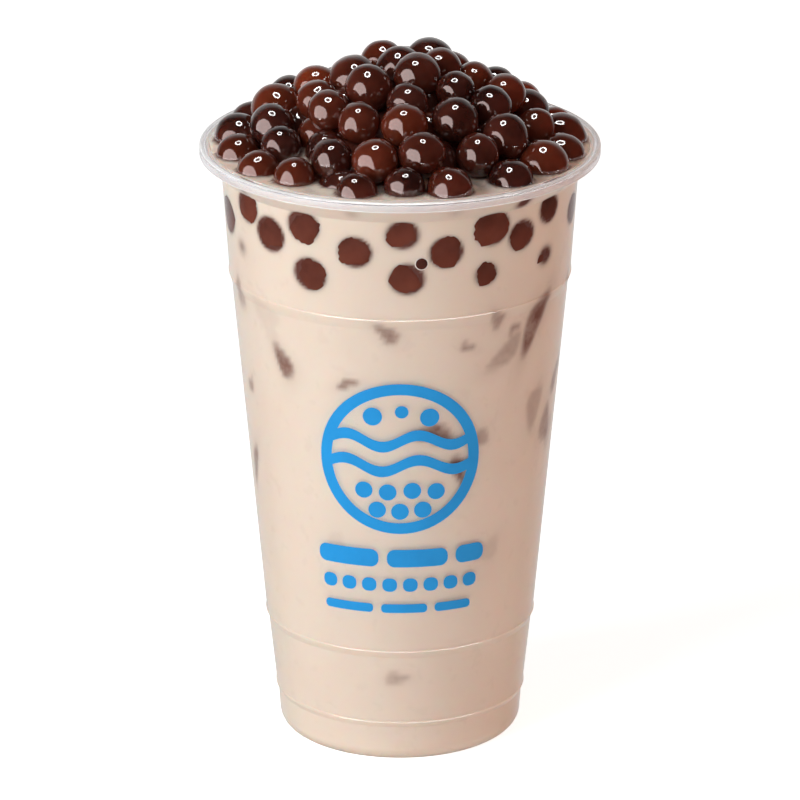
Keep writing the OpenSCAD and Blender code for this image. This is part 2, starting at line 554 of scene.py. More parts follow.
@dataclass
class Cup:
    """The clear cup, turned in one piece from its floor to its rim. Sizes in millimetres."""

    wall: float = 0.9
    floor: float = 1.2
    base_round: float = 3.4
    rim_w: float = 2.6
    rim_t: float = 0.9
    skirt_h: float = 2.4
    rim_round: float = 0.7
    mouth_round: float = 0.4
    under_round: float = 0.3
    skirt_in_round: float = 0.2
    skirt_out_round: float = 0.25
    neck_in: float = 3.5
    neck_start: float = 2.0
    neck_slope_h: float = 4.3
    top_band_h: float = 24.8
    top_draft: float = 3.8
    upper_ledge_in: float = 0.6
    upper_ledge_h: float = 2.4
    main_draft: float = 5.25
    middle_ledge_z: float = 29.6
    middle_ledge_in: float = 0.5
    middle_ledge_h: float = 1.6
    low_draft: float = 6.0
    lower_ledge_z: float = 10.4
    lower_ledge_in: float = 0.4
    lower_ledge_h: float = 1.2
    foot_draft: float = 4.0
    ledge_round: float = 0.8
    bead: float = 0.17
    bead_h: float = 0.22
    # Height of the painted highlight bands on the rim's edges.
    highlight_band_h: float = 0.3
    hazy_from: float = 0.1
    segments: int = 192

    def __post_init__(self) -> None:
        """Reads the overall size off the frame and works out the corners of the wall."""
        low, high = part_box("cup")
        self.height = high.z / MM
        self.rim_r = (high.x - low.x) / 2 / MM
        self.mouth_r = self.rim_r - self.rim_w
        self.neck_z = self.height - self.neck_start - self.neck_slope_h
        self.upper_z = self.neck_z - self.top_band_h
        neck_r = self.mouth_r + self.wall - self.neck_in
        upper_r = neck_r - drift(self.top_band_h, self.top_draft)
        main_r = upper_r - self.upper_ledge_in
        main_z = self.upper_z - self.upper_ledge_h
        middle_r = main_r - drift(main_z - self.middle_ledge_z, self.main_draft)
        low_r = middle_r - self.middle_ledge_in
        low_z = self.middle_ledge_z - self.middle_ledge_h
        lower_r = low_r - drift(low_z - self.lower_ledge_z, self.low_draft)
        foot_r = lower_r - self.lower_ledge_in
        foot_z = self.lower_ledge_z - self.lower_ledge_h
        base_r = foot_r - drift(foot_z, self.foot_draft)
        self.wall_line = [
            (base_r, 0.0),
            (foot_r, foot_z),
            *self.beaded(lower_r, self.lower_ledge_z),
            (low_r, low_z),
            *self.beaded(middle_r, self.middle_ledge_z),
            (main_r, main_z),
            *self.beaded(upper_r, self.upper_z),
            (neck_r, self.neck_z),
            (self.mouth_r + self.wall, self.height - self.neck_start),
        ]

    def beaded(self, r: float, z: float) -> list[tuple[float, float]]:
        """Gives the points of the thin bead at the edge of a ledge."""
        out = r + self.bead
        return [(out, z - self.bead_h / 2), (out, z + self.bead_h / 2), (r, z + 1.5 * self.bead_h)]

    def wall_corners(self, inset: float, bottom: float) -> list[Corner]:
        """Gives the corners of the wall from the base up to the mouth.

        Args:
            inset: How far they lie inside the wall's outer face.
            bottom: The height at which they start.

        Returns:
            The corners, in metres.
        """
        made = []
        for i, (r, z) in enumerate(self.wall_line):
            if i == 0:
                r += drift(bottom, self.foot_draft)
                z, rounding = bottom, self.base_round - inset
            else:
                rounding = self.ledge_round
            made.append(Corner((r - inset) * MM, z * MM, rounding * MM))
        return made

    def inside_radius(self, z: float | np.ndarray) -> float | np.ndarray:
        """Gives the radius of the wall's inner face at a height, both in metres."""
        line = [(r - self.wall, height) for r, height in self.wall_line] + [(self.mouth_r, self.height)]
        return np.interp(z, [height * MM for _, height in line], [r * MM for r, _ in line])

    def outside_radius(self, z: float) -> float:
        """Gives the radius of the wall's outer face at a height, both in metres."""
        rs, zs = zip(*self.wall_line)
        return float(np.interp(z, [height * MM for height in zs], [r * MM for r in rs]))

    def outline(self) -> list[Vector]:
        """Works out the outline of the wall, the floor and the rim.

        Returns:
            Its points, from the underside's middle round to the floor's middle.
        """
        top, skirt_r = self.height, self.rim_r - self.rim_t
        under = top - self.rim_t
        outside = [Corner(0.0, 0.0)] + self.wall_corners(0.0, 0.0)
        rim = [
            (self.mouth_r + self.wall, under, self.under_round),
            (skirt_r, under, self.under_round),
            (skirt_r, top - self.skirt_h, self.skirt_in_round),
            (self.rim_r, top - self.skirt_h, self.skirt_out_round),
            (self.rim_r, top, self.rim_round),
            (self.mouth_r, top, self.mouth_round),
        ]
        inside = self.wall_corners(self.wall, self.floor)[::-1] + [Corner(0.0, self.floor * MM)]
        return rounded(outside + [Corner(r * MM, z * MM, n * MM) for r, z, n in rim] + inside)

    def build(self, clear: Material, hazy: Material, edge: Material) -> Object:
        """Turns the cup, gives the rim its hazier finish and paints highlights on the rim's outer edges.

        Args:
            clear: The finish of the wall and the floor.
            hazy: The finish of the thicker rim.
            edge: The whitish finish of the rim's outer edges, painted as highlights.

        Returns:
            The cup.
        """
        bm = bmesh.new()
        turned(bm, self.outline(), self.segments)
        skirt_z = self.height - self.skirt_h
        for face in bm.faces:
            middle = face.calc_center_median() / MM
            if middle.z <= skirt_z - self.highlight_band_h:
                continue
            if middle.xy.length > self.mouth_r + self.hazy_from:
                face.material_index = 1
            # Painted highlights: whitish bands along the skirt's lower edge and the rim's top edge.
            low_highlight = middle.z < skirt_z + self.highlight_band_h
            top_highlight = middle.z > self.height - self.rim_round / 2
            if middle.xy.length > self.rim_r - self.rim_round and (low_highlight or top_highlight):
                face.material_index = 2
        piece = finished(bm, "cup_shell", clear)
        piece.data.materials.append(hazy)
        piece.data.materials.append(edge)
        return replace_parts(piece, "cup")


# ---- The pearls ----


@dataclass
class Pearl:
    """One pearl: its centre, its radius, how amber it is with its painted glow, and a number of its own.

    Its bulges are taken off its radius by the share shrink, so that none stands proud.
    """

    centre: Vector
    radius: float
    tone: float
    number: int
    shrink: float = 0.6

    strides = (3.7, 1.3, 2.1)
    bulges = 1.1
    dents = 2.9
    dent_share = 0.3
    # Below this height on the unit sphere the underside's painted glow starts.
    underside = 0.3

    def add(self, bm: BMesh, level: int, unevenness: float = 0.05, under: float = 0.0) -> list[BMVert]:
        """Adds the pearl to a mesh.

        Args:
            bm: The mesh.
            level: Subdivisions of the sphere.
            unevenness: How far it is from round, as a share of its radius.
            under: How much more amber its underside is painted, as glow of light passing through it.

        Returns:
            Its points.
        """
        layers = bm.verts.layers.float
        layer = layers.get(Mask.TONE_AND_GLOW.value) or layers.new(Mask.TONE_AND_GLOW.value)
        own = Vector([self.number * stride for stride in self.strides])
        verts = bmesh.ops.create_icosphere(bm, subdivisions=level, radius=1.0)["verts"]
        for vert in verts:
            way = vert.co.normalized()
            swing = noise.noise(way * self.bulges + own)
            swing += self.dent_share * noise.noise(way * self.dents + own)
            bulge = 1 + unevenness * (swing - self.shrink)
            vert.co = self.centre + way * self.radius * bulge
            # Painted glow: the underside is made more amber.
            vert[layer] = self.tone + under * max(0.0, self.underside - way.z)
        return verts


@dataclass
class PearlHeap:
    """The heap of separate pearls above the drink. Sizes in millimetres.

    Each ring has its share of the heap's radius, the pitch of its pearls as a share of their
    mean diameter, its first angle in degrees and its seed.
    """

    smallest: float = 9.4
    largest: float = 12.6
    rise: float = 18.5
    edge_sink: float = 1.2
    lean: float = 4.0
    mouth_gap: float = 0.4
    squash: float = 0.08
    passes: int = 10
    spacing_share: float = 0.28
    radius_jitter: float = 1.5
    height_jitter: float = 1.0
    lower_by: float = 6.0
    least_amber: float = 0.02
    own_amber: float = 0.3
    # Painted glow: how much more amber the pearls at the heap's back and edge are made.
    painted_back_glow: float = 2.4
    level_of_detail: int = 4

    rings = (
        (0.95, 1.12, 6.0, 91.0),
        (0.775, 1.09, 11.0, 238.0),
        (0.56, 1.05, 4.0, 104.0),
        (0.325, 1.02, 19.0, 461.0),
        (0.11, 0.8, 37.0, 38.0),
    )
    lower_rings = (
        (0.84, 1.15, 0.0, 17.0),
        (0.63, 1.1, 9.0, 53.0),
        (0.42, 1.1, 2.0, 71.0),
        (0.18, 1.0, 30.0, 29.0),
    )

    def __post_init__(self) -> None:
        """Reads the drink's level off the frame."""
        self.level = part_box("milk_tea")[1].z / MM

    def heap_rise(self, r: float) -> float:
        """Gives the height of the pearls' centres above the drink at a radius."""
        return self.rise * max(0.0, 1 - (r / self.reach) ** 2) - self.edge_sink

    def lean_at(self, r: float) -> float:
        """Gives how far the heap leans back and to the right at a radius."""
        return self.lean * max(0.0, 1 - r / self.reach)

    def held(self, p: Vector) -> Vector:
        """Brings a pearl back inside the mouth."""
        k = min(1.0, (self.brim - self.mouth_gap - p.w) / p.xy.length)
        return Vector((p.x * k, p.y * k, p.z, p.w))

    def in_space(self, p: Vector) -> Vector:
        """Puts a pearl at its place on the heap."""
        r, lean = p.xy.length, self.lean_at(p.xy.length)
        return Vector((p.x + lean, p.y + lean, self.level + self.heap_rise(r) + p.z, p.w))

    def push(self, a: Vector, b: Vector) -> Vector:
        """Works out the sideways push on a pearl where another presses too deep into it.

        Args:
            a: The pearl.
            b: The other pearl.

        Returns:
            The push.
        """
        gap = a.xyz - b.xyz
        depth = (1 - self.squash) * (a.w + b.w) - gap.length
        if gap.length == 0 or depth <= 0:
            return Vector((0.0, 0.0))
        return gap.xy * depth / gap.length / 2

    def strewn(self, rings: Sequence[tuple[float, float, float, float]]) -> list[Vector]:
        """Strews pearls in rings.

        Args:
            rings: The rings.

        Returns:
            For each pearl x, y, its height off the heap's shape, and its radius.
        """
        mean = (self.smallest + self.largest) / 2
        made = []
        for share, pitch, first, seed in rings:
            count = max(1, math.floor(2 * math.pi * self.reach * share / (mean * pitch)))
            for i in range(1, count + 1):
                step = i - 1 + self.spacing_share * spread(i, seed + 0.37)
                angle = math.radians(first + 360 / count * step)
                r = self.reach * share + self.radius_jitter * spread(i, seed + 0.71)
                d = self.smallest + (self.largest - self.smallest) * chance(i, seed)
                z = self.height_jitter * spread(i, seed + 0.13)
                made.append(Vector((r * math.cos(angle), r * math.sin(angle), z, d / 2)))
        return made

    def settle(self, pearls: list[Vector]) -> list[Vector]:
        """Lets the pearls push each other apart.

        Args:
            pearls: The pearls as strewn.

        Returns:
            Their places in space and their radii.
        """
        for _ in range(self.passes):
            pearls = [self.held(p) for p in pearls]
            placed = [self.in_space(p) for p in pearls]
            moved = []
            for p, here in zip(pearls, placed):
                move = sum((self.push(here, other) for other in placed), Vector((0.0, 0.0)))
                moved.append(Vector((p.x + move.x, p.y + move.y, p.z, p.w)))
            pearls = moved
        return [self.in_space(self.held(p)) for p in pearls]

    def tone_and_glow_of(self, place: Vector, number: int) -> float:
        """Works out how amber a pearl is: its own tone, plus painted glow that grows nearer to the heap's
        back and edge.

        Args:
            place: The pearl's place.
            number: Its number.

        Returns:
            A number between 0 and 1.
        """
        edge = place.xy.length / self.reach
        back = max(0.0, place.y / self.reach)
        own = chance(number, 7.7)
        # The back and edge share is painted glow of light through the pearls.
        return min(1.0, self.least_amber + (self.own_amber + self.painted_back_glow * back * edge) * own * own)

    def pearls(self, cup: Cup) -> list[Pearl]:
        """Works out all pearls of the heap, in metres.

        Args:
            cup: The cup whose mouth holds them.

        Returns:
            The outer pearls, then those that show between and under them.
        """
        self.brim = float(cup.inside_radius(self.level * MM)) / MM
        self.reach = self.brim - self.smallest / 2
        outer = self.settle(self.strewn(self.rings))
        down = Vector((0, 0, self.lower_by, 0))
        lower = [self.in_space(p) - down for p in self.strewn(self.lower_rings)]
        return [Pearl(p.xyz * MM, p.w * MM, self.tone_and_glow_of(p, i), i) for i, p in enumerate(outer + lower)]

    def build(self, pearls: Sequence[Pearl], finish: Material) -> Object:
        """Builds the heap as one piece.

        Args:
            pearls: Its pearls.
            finish: Their finish.

        Returns:
            The piece.
        """
        bm = bmesh.new()
        for pearl in pearls:
            pearl.add(bm, self.level_of_detail)
        piece = finished(bm, "heaped_pearls", finish)
        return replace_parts(piece, "pearl_heap")


@dataclass
class SunkPearls:
    """The pearls that press against the wall below the drink's surface. Millimetres.

    Each row has its depth below the surface, its first angle in degrees, the radius of a
    pearl's flat, the share that a loose pearl may lack of it, and a seed.
    """

    radius: float = 6.0
    per_row: int = 12
    rows = (
        (7.6, -91.0, 4.3, 0.25, 5.0),
        (13.0, -105.5, 4.3, 0.2, 43.0),
        (19.2, -91.0, 4.3, 0.95, 105.1),
    )
    spacing_share: float = 0.12
    depth_jitter: float = 1.2
    radius_share: float = 0.1
    most_amber: float = 0.2
    first_number: int = 200
    numbers_per_row: int = 50
    into_wall: float = 0.16
    unevenness: float = 0.19
    # How much more amber each pearl's underside is painted, as glow of light through it.
    under: float = 0.22
    level_of_detail: int = 4

    def pearls(self, cup: Cup, level: float) -> list[Pearl]:
        """Works out the pearls, row by row.

        Args:
            cup: The cup that they press against.
            level: The height of the drink's surface, in metres.

        Returns:
            The pearls, in metres.
        """
        made = []
        for row, (below, first, contact, loose, seed) in enumerate(self.rows):
            for i in range(self.per_row):
                step = i + self.spacing_share * spread(i, seed)
                angle = math.radians(first + 360 / self.per_row * step)
                z = level - (below + self.depth_jitter * spread(i, seed + 0.31)) * MM
                radius = self.radius * (1 + self.radius_share * spread(i, seed + 0.57)) * MM
                flat = contact * MM * (1 - loose * chance(i, seed + 0.83))
                r = float(cup.inside_radius(z)) - math.sqrt(radius**2 - flat**2)
                centre = Vector((r * math.cos(angle), r * math.sin(angle), z))
                number = self.first_number + row * self.numbers_per_row + i
                made.append(Pearl(centre, radius, self.most_amber * chance(i, seed), number, 0.0))
        return made

    def build(self, pearls: Sequence[Pearl], cup: Cup, finish: Material) -> Object:
        """Builds the sunk pearls as one piece, each flattened against the wall.

        Args:
            pearls: The pearls.
            cup: The cup that flattens them.
            finish: Their finish.

        Returns:
            The piece.
        """
        bm = bmesh.new()
        for pearl in pearls:
            # Each pearl's underside gets its painted glow.
            for vert in pearl.add(bm, self.level_of_detail, self.unevenness, self.under):
                limit = float(cup.inside_radius(vert.co.z)) + self.into_wall * MM
                far = vert.co.xy.length
                if far > limit:
                    vert.co.x *= limit / far
                    vert.co.y *= limit / far
        return finished(bm, "sunk_pearls", finish)


# ---- The drink ----


@dataclass(frozen=True)
class Mark:
    """A soft mark behind the wall: ice, a pearl or a fleck deeper in the drink.

    Its angle is in degrees from the front, more to the right. Its height, half width and
    half length are in millimetres, and its lean is sideways per upwards.
    """

    angle: float
    z: float
    wide: float
    tall: float
    lean: float
    strength: float

    pair_wobble = 0.3
    triple_wobble = 0.25
    halo_share = 0.35
    halo = 2.2
    core_edge = 1.7

    def shown(self, angle: np.ndarray, z: np.ndarray, radius: float) -> np.ndarray:
        """Works out how strongly the mark shows.

        Args:
            angle: The points' angles from the front in radians.
            z: The points' heights in metres.
            radius: The wall's radius in metres.

        Returns:
            A number between 0 and 1 for each point.
        """
        off = np.mod(angle - math.radians(self.angle) + math.pi, 2 * math.pi) - math.pi
        across, up = off * radius / MM, z / MM - self.z
        u = (across - self.lean * up) / self.wide
        v = (up + self.lean * across) / self.tall
        turn = np.arctan2(v, u)
        wobble = 1 + self.pair_wobble * np.sin(2 * turn + self.z)
        wobble += self.triple_wobble * np.sin(3 * turn + self.angle)
        q = (u**2 + v**2) * wobble / (1 + self.lean**2)
        core = (1 - self.halo_share) * np.clip(self.core_edge - q, 0.0, 1.0)
        return self.strength * (self.halo_share * np.exp(-q / self.halo) + core)


@dataclass
class MilkTea:
    """The drink, up to its level, with a film that climbs the pearls. Millimetres.

    The marks within the front's angle are set one by one, and the others by rule.
    """

    front_marks = (
        Mark(-4.0, 112.4, 2.5, 1.7, 0.5, 0.85),
        Mark(-19.0, 99.0, 1.9, 1.0, -0.3, 0.8),
        Mark(-45.0, 101.0, 2.2, 3.4, -0.35, 0.9),
        Mark(-53.0, 112.0, 3.6, 3.4, 0.2, 0.14),
        Mark(-50.0, 107.0, 2.6, 2.2, 0.2, 0.14),
        Mark(35.0, 114.0, 1.9, 1.7, 0.1, 0.7),
        Mark(53.0, 110.0, 2.5, 6.6, 0.35, 1.0),
        Mark(40.0, 104.5, 4.4, 2.4, -0.6, 0.5),
        Mark(43.0, 110.5, 1.4, 1.2, 0.0, 0.6),
        Mark(24.0, 108.0, 2.0, 0.7, 0.3, 0.7),
        Mark(13.0, 86.5, 3.4, 2.5, 0.2, 1.0),
        Mark(22.0, 77.0, 1.5, 2.8, -0.35, 1.0),
        Mark(31.0, 84.0, 2.2, 1.6, 0.3, 0.5),
        Mark(58.0, 88.0, 2.8, 4.2, 0.6, 0.45),
        Mark(-2.0, 22.5, 2.2, 1.5, 0.2, 0.45),
        Mark(-26.0, 56.0, 2.4, 3.0, 0.3, 0.16),
        Mark(38.0, 54.0, 2.2, 3.2, 0.4, 0.22),
    )
    front: float = 68.0

    into_wall: float = 0.12
    segments: int = 352
    fine: float = 0.64
    coarse: float = 1.4
    top_step: float = 1.0
    floor_step: float = 3.0
    film: float = 0.24
    climb: float = 0.7
    climb_width: float = 0.8
    dome_drop: float = 6.5
    # Above this height the surface under the heap is painted dark, as shade between the pearls.
    dome_shade_from: float = 1.5
    dome_shade_over: float = 3.0
    near: float = 2.0
    flat_h: float = 0.05

    marks: int = 58
    marks_turn: float = 222.5
    marks_jitter: float = 18.0
    marks_top: float = 118.0
    marks_h: float = 96.0
    crowding: float = 1.5
    mark_least: float = 1.1
    mark_wider: float = 2.0
    mark_taller: float = 3.2
    mark_lean: float = 0.6
    faintest: float = 0.3
    stronger: float = 0.6

    def outline(self, cup: Cup, level: float) -> list[Vector]:
        """Works out the drink's outline.

        Args:
            cup: The cup that holds it.
            level: The height of its surface.

        Returns:
            Its points, from the floor's middle to the surface's middle.
        """
        corners = [Corner(0.0, (cup.floor - self.into_wall) * MM)]
        corners += cup.wall_corners(cup.wall - self.into_wall, cup.floor - self.into_wall)
        brim = float(cup.inside_radius(level)) + self.into_wall * MM
        corners = [c for c in corners if c.z < level] + [Corner(brim, level), Corner(0.0, level)]
        band = cup.upper_z * MM

        def step(place: Vector) -> float:
            """Works out how fine the mesh is at a place.

            Args:
                place: The place.

            Returns:
                The longest step.
            """
            if place.z > level - 2 * self.flat_h * MM:
                return self.top_step * MM
            if place.z < cup.floor * MM:
                return self.floor_step * MM
            return (self.fine if place.z > band else self.coarse) * MM

        return even_steps(rounded(corners), step)

    def relief(self, bm: BMesh, level: float, heap: PearlHeap, pearls: Sequence[Pearl]) -> None:
        """Raises the surface under the heap and where the drink climbs the pearls.

        Args:
            bm: The drink's mesh.
            level: The height of its surface.
            heap: The heap.
            pearls: The heap's pearls.
        """
        near = [p for p in pearls if abs(p.centre.z - level) < p.radius + self.near * MM]
        for vert in bm.verts:
            if vert.co.z < level - self.flat_h * MM:
                continue
            r = vert.co.xy.length / MM
            vert.co.z += max(0.0, heap.heap_rise(r) - self.dome_drop) * MM
            lift = 0.0
            for pearl in near:
                gap = (vert.co - pearl.centre).length - pearl.radius
                lift = max(lift, math.exp(-max(0.0, gap) / (self.climb_width * MM)))
            vert.co.z += self.climb * lift * MM

    def veil(self, points: np.ndarray, level: float, pearls: Sequence[Pearl]) -> np.ndarray:
        """Works out how strongly pearls show through the film at each point, together with the painted
        shade on the surface raised under the heap.

        Args:
            points: The drink's points.
            level: The height of its surface.
            pearls: All pearls near the surface or the wall.

        Returns:
            A number between 0 and 1 for each point.
        """
        shown = np.zeros(len(points))
        for pearl in pearls:
            gap = np.linalg.norm(points - np.array(pearl.centre), axis=1) - pearl.radius
            shown = np.maximum(shown, np.exp(-np.maximum(gap, 0.0) / (self.film * MM)))
        # Painted shade: the surface raised under the heap darkens with its height.
        height = (points[:, 2] - level) / MM
        shade = (height - self.dome_shade_from) / self.dome_shade_over
        return np.maximum(shown, np.clip(shade, 0.0, 1.0))

    def mark(self, points: np.ndarray, cup: Cup) -> np.ndarray:
        """Works out the soft marks of ice and pearls deeper in the drink.

        Args:
            points: The drink's points.
            cup: The cup.

        Returns:
            A number between 0 and 1 for each point.
        """
        marks = list(self.front_marks)
        for i in range(self.marks):
            angle = (i * self.marks_turn + self.marks_jitter * spread(i, 3.1)) % 360 - 180
            z = self.marks_top - self.marks_h * chance(i, 5.3) ** self.crowding
            wide = self.mark_least + self.mark_wider * chance(i, 8.9)
            tall = self.mark_least + self.mark_taller * chance(i, 2.2)
            lean = self.mark_lean * spread(i, 6.4)
            strength = self.faintest + self.stronger * chance(i, 4.6)
            if abs(angle) > self.front:
                marks.append(Mark(angle, z, wide, tall, lean, strength))
        angles = np.arctan2(points[:, 0], -points[:, 1])
        shown = np.zeros(len(points))
        for mark in marks:
            radius = float(cup.inside_radius(mark.z * MM))
            shown = np.maximum(shown, mark.shown(angles, points[:, 2], radius))
        return shown

    def build(
        self, cup: Cup, heap: PearlHeap, heaped: Sequence[Pearl], sunk: Sequence[Pearl], finish: Material
    ) -> Object:
        """Builds the drink.

        Args:
            cup: The cup that holds it.
            heap: The heap on it.
            heaped: The heap's pearls.
            sunk: The pearls at the wall.
            finish: Its finish.

        Returns:
            The drink.
        """
        level = heap.level * MM
        bm = bmesh.new()
        turned(bm, self.outline(cup, level), self.segments)
        self.relief(bm, level, heap, heaped)
        piece = finished(bm, "milk_tea_body", finish)
        co = np.zeros(len(piece.data.vertices) * 3, np.float32)
        piece.data.vertices.foreach_get("co", co)
        points = co.reshape(-1, 3)
        # Pearls through the film, and painted shade under the heap.
        painted(piece, Mask.VEIL_AND_SHADE, self.veil(points, level, [*heaped, *sunk]))
        painted(piece, Mask.MARK, self.mark(points, cup))
        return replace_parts(piece, "milk_tea")


@dataclass
class AirBubble:
    """A small air bubble at the front of the wall: a dark middle of painted shade in a pale ring of
    painted highlight. Millimetres.
    """

    angle: float = 7.0
    z: float = 130.2
    radius: float = 1.4
    ring: float = 0.2
    into_wall: float = 0.16
    flatness: float = 0.2
    steps_across: int = 10
    steps_round: int = 40

    def build(self, cup: Cup, middle: Material, ring: Material) -> Object:
        """Builds the bubble as one piece.

        Args:
            cup: The cup whose wall it touches.
            middle: The finish of its middle, dark as painted shade.
            ring: The finish of its ring, pale as a painted highlight.

        Returns:
            The piece.
        """
        bm = bmesh.new()
        bmesh.ops.create_icosphere(bm, subdivisions=3, radius=self.radius * MM)
        start = Matrix.Translation((self.radius * MM, 0, 0)) @ Matrix.Rotation(math.pi / 2, 4, "X")
        made = bmesh.ops.create_circle(bm, segments=self.steps_across, radius=self.ring * MM, matrix=start)
        ball = set(bm.faces)
        spun(bm, made["verts"], edges_of(made["verts"]), self.steps_round)
        for face in set(bm.faces) - ball:
            face.material_index = 1
        bmesh.ops.recalc_face_normals(bm, faces=bm.faces)
        r = float(cup.inside_radius(self.z * MM)) + self.into_wall * MM
        turn = Matrix.Rotation(math.radians(self.angle), 4, "Z") @ Matrix.Translation((0, -r, self.z * MM))
        flat = Matrix.Rotation(math.pi / 2, 4, "X") @ Matrix.Diagonal((1, 1, self.flatness, 1))
        bmesh.ops.transform(bm, matrix=turn @ flat, verts=bm.verts)
        piece = finished(bm, "air_bubble", middle)
        piece.data.materials.append(ring)
        return piece


# ---- The print ----


@dataclass
class Motif:
    """A plain blue motif of rounded shapes on the front of the cup. Millimetres.

    In the ring each wave has its height and width, and each dot its place and radius, all
    from the ring's middle. Below it each bar and dash has its middle and its width.
    """

    centre_z: float = 80.5
    ring_r: float = 19.4
    stroke: float = 2.8
    thickness: float = 0.06
    sunk: float = 0.03
    corner_share: float = 0.42

    waves = ((4.6, 34.0), (-1.8, 35.2))
    swing: float = 1.5
    upper_dots = ((-6.5, 10.9, 2.3), (0.4, 12.2, 1.6), (7.0, 10.6, 2.3))
    lower_dots = (
        *((x, z, 2.1) for x, z in ((-8.6, -8.2), (-2.9, -8.6), (2.9, -8.2), (8.6, -8.6))),
        *((x, z, 2.1) for x, z in ((-5.4, -13.2), (0.0, -13.6), (5.4, -13.2))),
    )
    bars = ((-12.6, 15.0), (4.2, 14.6), (17.2, 7.4))
    bars_z: float = 54.6
    bars_h: float = 4.6
    beads: int = 8
    bead_pitch: float = 4.9
    beads_z: float = 47.6
    bead_d: float = 3.5
    dashes = ((-12.4, 12.0), (1.0, 11.0), (12.8, 9.0))
    dashes_z: float = 41.4
    dashes_h: float = 2.3

    def upright(self, x: float, z: float, width: float = 2.0, height: float = 2.0) -> Matrix:
        """Places a flat shape, two wide and two high, upright at a place and at a size."""
        scale = Matrix.Diagonal((width / 2, height / 2, 1, 1))
        return Matrix.Translation((x, 0, z)) @ Matrix.Rotation(math.pi / 2, 4, "X") @ scale

    def ring(self, bm: BMesh) -> None:
        """Adds the ring.

        Args:
            bm: The flat motif.
        """
        edges = []
        for r in (self.ring_r, self.ring_r - self.stroke):
            place = self.upright(0, self.centre_z)
            circle = bmesh.ops.create_circle(bm, segments=72, radius=r, matrix=place)
            edges += edges_of(circle["verts"])
        bmesh.ops.bridge_loops(bm, edges=edges)

    def bar(self, bm: BMesh, x: float, z: float, width: float, height: float) -> None:
        """Adds a bar with rounded ends.

        Args:
            bm: The flat motif.
            x: The bar's middle.
            z: The bar's height on the cup.
            width: How wide it is.
            height: How high it is.
        """
        count = max(2, math.ceil(width / 2))
        place = self.upright(x, z, width, height)
        made = bmesh.ops.create_grid(bm, x_segments=count, y_segments=1, size=1.0, matrix=place)
        ends = [v for v in made["verts"] if len(v.link_edges) == 2]
        bmesh.ops.bevel(
            bm,
            geom=ends,
            offset=min(height, width) * self.corner_share,
            offset_type="OFFSET",
            affect="VERTICES",
            segments=5,
            profile=0.5,
            material=-1,
        )

    def wave(self, bm: BMesh, z: float, width: float) -> None:
        """Adds a stripe with two waves.

        Args:
            bm: The flat motif.
            z: The stripe's height on the cup.
            width: How wide it is.
        """
        place = self.upright(0, z, width, self.stroke)
        made = bmesh.ops.create_grid(bm, x_segments=36, y_segments=1, size=1.0, matrix=place)
        for vert in made["verts"]:
            vert.co.z += self.swing * math.sin(vert.co.x / width * 4 * math.pi)

    def draw(self, bm: BMesh) -> None:
        """Draws the whole motif flat.

        Args:
            bm: The mesh that gets it.
        """
        mid = self.centre_z
        self.ring(bm)
        for z, width in self.waves:
            self.wave(bm, mid + z, width)
        for x, z, r in (*self.upper_dots, *self.lower_dots):
            place = self.upright(x, mid + z)
            bmesh.ops.create_circle(bm, cap_ends=True, cap_tris=True, segments=28, radius=r, matrix=place)
        for x, width in self.bars:
            self.bar(bm, x, self.bars_z, width, self.bars_h)
        for i in range(self.beads):
            x = (i - (self.beads - 1) / 2) * self.bead_pitch
            self.bar(bm, x, self.beads_z, self.bead_d, self.bead_d)
        for x, width in self.dashes:
            self.bar(bm, x, self.dashes_z, width, self.dashes_h)

    def build(self, cup: Cup, finish: Material) -> Object:
        """Lays the motif round the wall.

        Args:
            cup: The cup that carries it.
            finish: The ink.

        Returns:
            The print.
        """
        bm = bmesh.new()
        self.draw(bm)
        raised = bmesh.ops.extrude_face_region(bm, geom=bm.faces[:])["geom"]
        front = [g for g in raised if isinstance(g, BMVert)]
        bmesh.ops.translate(bm, verts=front, vec=(0, -1, 0))
        for vert in bm.verts:
            u, out, z = vert.co.x, -vert.co.y, vert.co.z * MM
            wall = cup.outside_radius(z)
            r = wall + (out * self.thickness - self.sunk) * MM
            angle = u * MM / wall
            vert.co = Vector((r * math.sin(angle), -r * math.cos(angle), z))
        bmesh.ops.recalc_face_normals(bm, faces=bm.faces)
        piece = finished(bm, "printed_motif", finish, smooth=False)
        piece.visible_shadow = False
        return piece


# ---- The set ----


